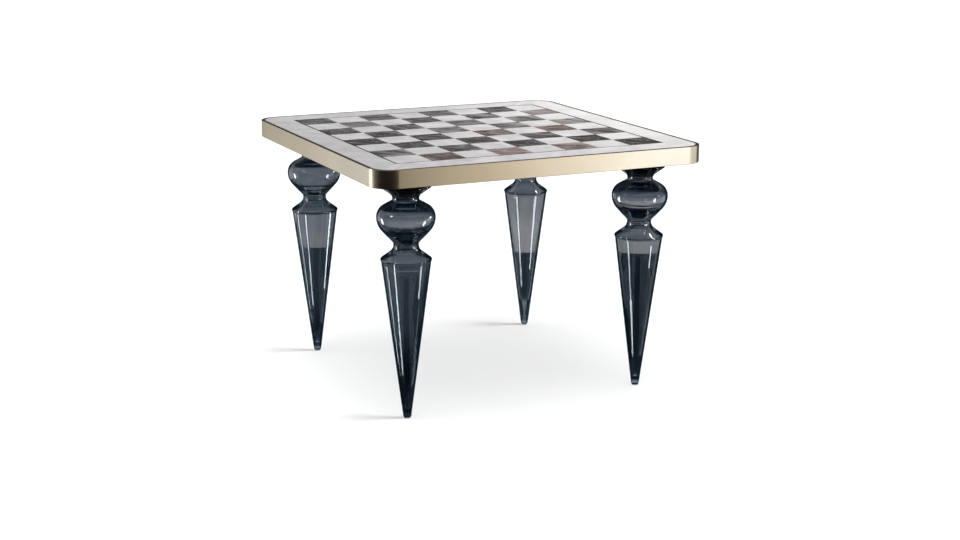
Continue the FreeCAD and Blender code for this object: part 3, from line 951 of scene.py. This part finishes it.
def satin_brass():
    """Brass brushed along its length, with painted shade darkening its top face."""
    material, shader = new_material("satin_champagne_brass", Metallic=1.0, Anisotropic=0.7)
    lines = noise(material, place(material, (3.0, 3.0, 2600.0)), 1.0, detail=3.0, roughness=0.7)
    cloud = noise(material, place(material), 7.0, detail=3.0)
    brass = ramp(material, cloud, [(0.3, (0.44, 0.375, 0.270)), (0.7, (0.50, 0.435, 0.32))])
    line_share = maths(material, "MULTIPLY", lines, 0.25)
    brass = blend_colours(material, line_share, brass, (0.60, 0.54, 0.43))
    normal = add(material, "NewGeometry").outputs["Normal"]
    facing = add(material, "SeparateXYZ", {0: normal}).outputs["Z"]
    # Painted shade: faces that look up are blended towards dark bronze.
    top = spread_over(material, facing, 0.75, 0.95, 0.0, 1.0)
    colour = blend_colours(material, top, brass, (0.16, 0.12, 0.08))
    dress(material, shader, colour, (lines, 0.3, 0.7, 0.18, 0.26), (lines, 0.15, 0.1 * MM))
    return material


band.data.materials.append(satin_brass())
print("brass on", band.name)

# %% [markdown]
# ## The squares
#
# Sixty-four tiles, 60 mm square and 10 mm thick, lie flush with a fine joint between them. Each is
# cut from another part of the slab, so no two have the same veins. One material can serve them all
# if each tile carries its own place in the slab. That place is stored in the mesh as an attribute,
# with a tone for how dark and how warm the stone is.


# %% A stone for each dark square
very_dark_stones = {(1, 4), (3, 4), (2, 3), (5, 2), (7, 2), (8, 1)}
dark_stones = {(1, 6), (2, 5), (6, 3), (3, 2), (4, 3), (8, 3), (7, 8)}
pale_stones = {(2, 7), (5, 6), (7, 6), (4, 5), (6, 5), (4, 1), (6, 1), (1, 2)}
palest_stones = {(8, 7), (8, 5)}
warm_stones = {  # rank and file: how much of the stone is plum or tan
    (7, 4): 0.95, (5, 4): 0.80, (4, 1): 0.95, (6, 1): 0.80, (7, 6): 0.45, (8, 5): 0.45,
    (8, 7): 0.45, (8, 3): 0.40, (8, 1): 0.45, (2, 1): 0.70, (3, 2): 0.35, (6, 5): 0.35,
    (1, 2): 0.35,
}


def lightness_of(square, chance):
    """How light the stone of a dark square is, from 0 to 1."""
    for stones, low, high in ((very_dark_stones, 0.0, 0.1), (dark_stones, 0.2, 0.3),
                              (pale_stones, 0.65, 0.75), (palest_stones, 0.9, 1.0)):
        if square in stones:
            return chance.uniform(low, high)
    return chance.uniform(0.4, 0.5)


print("dark squares with warm stone:", len(warm_stones))

# %% Lay the squares
squares = 8
tile_half = 30.0 * MM
pitch = 60.7 * MM
stone_thickness = 10.0 * MM
tile_arris = 0.4 * MM


def add_tile(shape, x, y):
    """Adds one tile with a fine arris round its face, and gives back its points."""
    made = bmesh.ops.create_cube(shape, size=1.0)["verts"]
    for vertex in made:
        vertex.co = Vector((x + 2.0 * tile_half * vertex.co.x, y + 2.0 * tile_half * vertex.co.y,
                            table_height + stone_thickness * (vertex.co.z - 0.5)))
    rim = [edge for edge in shape.edges if all(v in made and abs(v.co.z - table_height) < 1e-6
                                               for v in edge.verts)]
    bmesh.ops.bevel(shape, geom=rim, offset=tile_arris, segments=2, profile=0.5, affect="EDGES")
    reach = tile_half * 1.01
    return [v for v in shape.verts if abs(v.co.x - x) < reach and abs(v.co.y - y) < reach]


def lay_rank(rank, kind, chance):
    """The dark or the light squares of one rank, as one piece with four loose tiles."""
    name = kind + "_squares_rank_" + str(rank)
    shape = bmesh.new()
    cut = shape.verts.layers.float_vector.new("cut")
    tone = shape.verts.layers.float_color.new("tone")
    for file in range(1, squares + 1):
        if (rank + file) % 2 != (kind == "dark"):
            continue
        x = (rank - (squares + 1) / 2.0) * pitch
        y = (file - (squares + 1) / 2.0) * pitch
        points = add_tile(shape, x, y)
        turn = math.radians(chance.uniform(-25.0, 25.0) + chance.choice((45.0, 225.0)))
        slab = Vector((chance.uniform(0.0, 40.0), chance.uniform(0.0, 40.0),
                       chance.uniform(0.0, 4.0)))
        lightness = lightness_of((rank, file), chance)
        warmth = warm_stones.get((rank, file), chance.uniform(0.0, 0.15))
        for vertex in points:
            east, north = vertex.co.x - x, vertex.co.y - y
            vertex[cut] = slab + Vector((east * math.cos(turn) - north * math.sin(turn),
                                         east * math.sin(turn) + north * math.cos(turn),
                                         vertex.co.z))
            vertex[tone] = (lightness, warmth, chance.random(), 1.0)
    mesh = bpy.data.meshes.new(name)
    shape.to_mesh(mesh)
    shape.free()
    thing = stand(name, mesh)
    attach(thing, "root")
    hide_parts(kind + "_tiles_rank_" + str(rank))
    return thing


mason = random.Random(64)
dark_ranks = [lay_rank(rank, "dark", mason) for rank in range(1, squares + 1)]
light_ranks = [lay_rank(rank, "light", mason) for rank in range(1, squares + 1)]
print("tiles laid:", 4 * (len(dark_ranks) + len(light_ranks)))

# %% [markdown]
# ## Dark marble
#
# The dark squares run from charcoal through smoke grey to plum and tan, with streaks across each
# tile and thin pale veins. Noise that is stretched in one direction gives the streaks. The veins
# are the places where a second noise passes through its middle value, which makes long wandering
# lines.


# %% Dark marble material
def vein_lines(material, where, scale, width, distortion):
    """Thin lines where a noise passes through its middle value: 1 on the line, 0 away from it."""
    field = noise(material, where, scale, detail=3.0, roughness=0.55, distortion=distortion)
    away = maths(material, "ABSOLUTE", maths(material, "SUBTRACT", field, 0.5))
    return spread_over(material, away, 0.0, width, 1.0, 0.0)


def stretched(material, where, scale):
    """The same place with one direction drawn out."""
    return add(material, "Mapping", {"Vector": where, "Scale": scale}).outputs["Vector"]


def with_veins(material, veins, gaps, strength, stone, colour):
    """Lays veins over a stone; gaps is a noise that breaks them up."""
    veins = maths(material, "MULTIPLY", veins, gaps)
    return blend_colours(material, maths(material, "MULTIPLY", veins, strength), stone, colour)


def dark_marble():
    """Streaked marble from charcoal to tan, as light and as warm as each tile says."""
    material, shader = new_material("dark_marble_honed", Specular_IOR_Level=0.25)
    where = add(material, "Attribute", attribute_name="cut").outputs["Vector"]
    stored = add(material, "Attribute", attribute_name="tone").outputs["Color"]
    tone = add(material, "SeparateColor", {0: stored})
    lightness, warmth = tone.outputs[0], tone.outputs[1]
    streaks = noise(material, stretched(material, where, (1.0, 3.2, 1.0)), 20.0, detail=6.0,
                    roughness=0.62, distortion=0.6)
    streaks = spread_over(material, streaks, 0.32, 0.68, 0.04, 0.78)
    lift = spread_over(material, lightness, 0.0, 1.0, -0.22, 0.26)
    streaks = maths(material, "ADD", streaks, lift)
    grey = ramp(material, streaks, [(0.08, (0.020, 0.018, 0.018)), (0.32, (0.066, 0.064, 0.065)),
                                    (0.55, (0.165, 0.160, 0.161)), (0.85, (0.34, 0.33, 0.33))])
    warm = ramp(material, streaks, [(0.08, (0.036, 0.022, 0.020)), (0.32, (0.100, 0.068, 0.064)),
                                    (0.55, (0.235, 0.172, 0.160)), (0.85, (0.43, 0.345, 0.315))])
    patches = noise(material, where, 24.0, detail=3.0)
    patches = maths(material, "ADD", patches, maths(material, "SUBTRACT", warmth, 0.5))
    warm_share = spread_over(material, patches, 0.40, 0.85, 0.0, 1.0)
    stone = blend_colours(material, warm_share, grey, warm)
    veins = vein_lines(material, stretched(material, where, (1.0, 2.0, 1.0)), 14.0, 0.012, 1.2)
    stone = with_veins(material, veins, noise(material, where, 45.0, detail=2.0), 0.9, stone,
                       (0.55, 0.53, 0.52))
    fine = noise(material, where, 400.0, detail=2.0)
    dress(material, shader, stone, (streaks, 0.2, 0.8, 0.24, 0.34), (fine, 0.05, 0.2 * MM))
    return material


dark_stone = dark_marble()
for piece in dark_ranks:
    piece.data.materials.append(dark_stone)
print("dark marble on", len(dark_ranks), "ranks")

# %% [markdown]
# ## Pale marble
#
# The light squares and the border come from one pale marble with soft grey clouds and few veins.
# The border stones are long single pieces, so each gets its own cloud. Each also gets its own
# tone, which is painted light and shade: the left stone is darkest and the front and right ones
# lightest, as the light falls across the board, and the mitres at the corners show the step.


# %% Pale marble materials
def pale_marble(name, low, high, vein, scale, turn=None):
    """Pale honed marble between two tones. Its veins follow each tile's place in the slab, or for a
    single long stone the object itself, turned by turn degrees."""
    material, shader = new_material(name, Specular_IOR_Level=0.3)
    if turn is None:
        where = add(material, "Attribute", attribute_name="cut").outputs["Vector"]
    else:
        where = place(material, turn=turn, shift=turn / 37.0)
    cloud = noise(material, stretched(material, where, (1.0, 2.2, 1.0)), scale, detail=6.0,
                  roughness=0.6, distortion=0.8)
    stone = ramp(material, cloud, [(0.32, low), (0.62, high)])
    veins = vein_lines(material, where, scale * 0.55, 0.016, 1.6)
    stone = with_veins(material, veins, noise(material, where, 60.0, detail=2.0), 0.7, stone, vein)
    fine = noise(material, where, 400.0, detail=2.0)
    dress(material, shader, stone, (cloud, 0.3, 0.7, 0.28, 0.36), (fine, 0.04, 0.2 * MM))
    return material


light_stone = pale_marble("pale_marble_squares", (0.55, 0.543, 0.543), (0.72, 0.712, 0.708),
                          (0.42, 0.41, 0.41), scale=18.0)
for piece in light_ranks:
    piece.data.materials.append(light_stone)

border_vein = (0.52, 0.51, 0.52)
# Painted light and shade: the left stone gets the darkest tones, the front and right the lightest.
border_shaded_tones = {
    "left": (35.0, (0.52, 0.51, 0.512), (0.65, 0.64, 0.642)),
    "front": (125.0, (0.58, 0.565, 0.565), (0.73, 0.72, 0.715)),
    "right": (215.0, (0.59, 0.585, 0.58), (0.71, 0.70, 0.695)),
    "back": (305.0, (0.55, 0.545, 0.54), (0.69, 0.685, 0.68)),
}
for side, (turn, low, high) in border_shaded_tones.items():
    stone = pale_marble("border_marble_" + side, low, high, border_vein, scale=12.0, turn=turn)
    frame["nodes"]["border_stone_" + side].data.materials.clear()
    frame["nodes"]["border_stone_" + side].data.materials.append(stone)
print("pale marble on", len(light_ranks), "ranks and", len(border_shaded_tones), "border stones")

# %% [markdown]
# ## Joints, inlay and the hidden pieces
#
# The joints hold a fine pale filler. A thin strip of dark bronze with a dull patina frames the
# board. Below are the parts that only show from underneath: a black stained panel, steel plates
# and screws, a blackened cap and a rubber ring at the mouth of each leg, and a clear pad under its
# tip. The CAD pieces already have the right shape, so they only take a finish here.


# %% One material for each plain finish
def plain_finish(name, dark, pale, rough, metallic=0.0, scale=60.0, stretch=(1.0, 1.0, 1.0),
                 depth=0.2 * MM, gloss=0.5):
    """A finish with a slow change of tone, an uneven polish and a fine surface."""
    material, shader = new_material(name, Metallic=metallic, Specular_IOR_Level=gloss)
    where = place(material, stretch)
    grain = noise(material, where, scale, detail=6.0, roughness=0.65)
    fine = noise(material, where, scale * 6.0, detail=3.0)
    colour = ramp(material, grain, [(0.3, dark), (0.7, pale)])
    dress(material, shader, colour, (grain, 0.3, 0.7, *rough), (fine, 0.3, depth))
    return material


finishes = {
    "tile_joint_filler": plain_finish(
        "joint_filler", (0.58, 0.57, 0.56), (0.68, 0.67, 0.66), (0.6, 0.8)),
    "inlay_line_": plain_finish(
        "inlay_bronze", (0.008, 0.007, 0.006), (0.020, 0.018, 0.015), (0.55, 0.7), gloss=0.1),
    "core_panel": plain_finish(
        "black_stained_plywood", (0.012, 0.011, 0.010), (0.030, 0.027, 0.024), (0.55, 0.75),
        scale=14.0, stretch=(1.0, 9.0, 9.0), depth=0.6 * MM),
    "adhesive_bed": plain_finish(
        "stone_adhesive", (0.46, 0.44, 0.40), (0.58, 0.56, 0.52), (0.6, 0.8)),
    "band_tab_": plain_finish(
        "black_painted_steel", (0.018, 0.018, 0.019), (0.032, 0.032, 0.034), (0.4, 0.55),
        scale=140.0),
    "mounting_plate_": plain_finish(
        "black_powder_coat", (0.022, 0.022, 0.023), (0.040, 0.040, 0.042), (0.5, 0.7),
        scale=240.0, depth=0.4 * MM),
    "tab_screws": plain_finish(
        "zinc_plate", (0.42, 0.42, 0.43), (0.56, 0.56, 0.57), (0.25, 0.4), metallic=1.0,
        scale=200.0),
    "leg_cap_": plain_finish(
        "blackened_cap_metal", (0.035, 0.040, 0.050), (0.060, 0.066, 0.078), (0.3, 0.45),
        metallic=1.0, scale=90.0, stretch=(1.0, 1.0, 12.0)),
    "leg_gasket_": plain_finish(
        "black_rubber", (0.018, 0.018, 0.018), (0.034, 0.034, 0.034), (0.7, 0.85)),
}
finishes["plate_screws"] = finishes["leg_stud_"] = finishes["tab_screws"]
print("plain finishes:", len(finishes))

# %% Clear pads under the feet, and every plain finish on its pieces
pad, pad_shader = new_material("clear_pad", Transmission_Weight=0.8, IOR=1.45)
pad_tone = noise(pad, place(pad), 300.0, detail=2.0)
pad_colour = ramp(pad, pad_tone, [(0.3, (0.62, 0.64, 0.66)), (0.7, (0.76, 0.78, 0.80))])
join(pad, pad_colour, pad_shader, "Base Color")
join(pad, spread_over(pad, pad_tone, 0.0, 1.0, 0.15, 0.3), pad_shader, "Roughness")
finishes["foot_glide_"] = pad

finished = 0
for start, material in finishes.items():
    for name, node in frame["nodes"].items():
        if name.startswith(start):
            node.data.materials.clear()
            node.data.materials.append(material)
            finished += 1
print("CAD pieces given a plain finish:", finished)

# %% [markdown]
# ## Lamps that serve only some pieces
#
# A lamp placed for one piece would also show on its neighbours. A studio would put up more flags.
# Light linking does it more simply: each group of lamps gets a list of the pieces that it may
# light, and the low sun also a list of the things that may stand in its way.


# %% Which lamps light what
def link_lamps(name, starts, receivers):
    """Lets the lamps and screens whose names start so light only these pieces."""
    served = bpy.data.collections.new(name)
    for piece in receivers:
        served.objects.link(piece)
    lamps = [thing for thing in bpy.data.objects if thing.name.startswith(starts)]
    for thing in lamps:
        thing.light_linking.receiver_collection = served
    print(name + ":", len(lamps))


board_starts = ("border_stone_", "inlay_line_", "tile_joint_")
stones = dark_ranks + light_ranks + [node for name, node in frame["nodes"].items()
                                     if name.startswith(board_starts)]
link_lamps("glass_lamps", "leg_lamp_", legs.values())
link_lamps("band_lamps", ("corner_strip", front_panel.name), [band])
link_lamps("board_lamps", board_lamp.name, stones)
link_lamps("floor_lamps", low_sun.name, [floor])
shadow_givers = bpy.data.collections.new("shadow_givers")
for pin in pins:
    shadow_givers.objects.link(pin)
low_sun.light_linking.blocker_collection = shadow_givers
